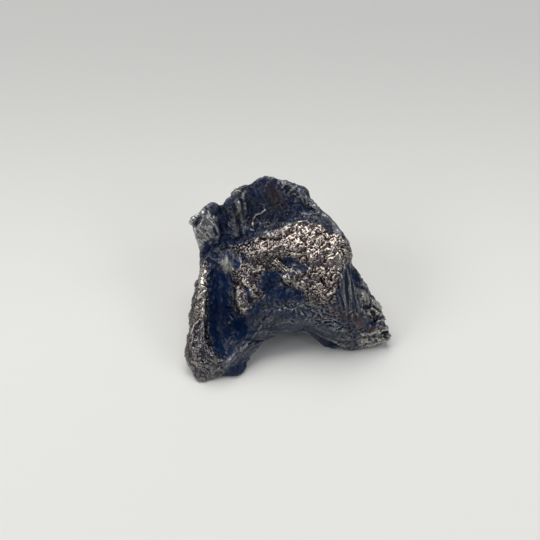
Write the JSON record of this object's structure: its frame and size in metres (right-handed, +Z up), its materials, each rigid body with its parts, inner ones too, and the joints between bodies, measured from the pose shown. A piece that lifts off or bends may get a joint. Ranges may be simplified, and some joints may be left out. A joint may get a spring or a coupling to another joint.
{
  "type": "iron meteorite fragment",
  "caption": "Torn fragment of an iron meteorite: a thin fin and ear rise behind a rough sloping beam that ends in two legs with an arch between them, resting on three soles.",
  "frame": {"origin": "on the table, under the middle of the stone's bounding box", "axes": "+X across the stone from the left leg to the right leg, +Y back from the legs to the fin, +Z up"},
  "size_m": [0.0398, 0.0342, 0.0249],
  "materials": {
    "meteoritic_iron": "dark oxidised nickel-iron with a dull sheen, worn bright on the high spots, with a trace of rust"
  },
  "bodies": {
    "root": {"meteorite": "meteoritic_iron"}
  },
  "joints": []
}
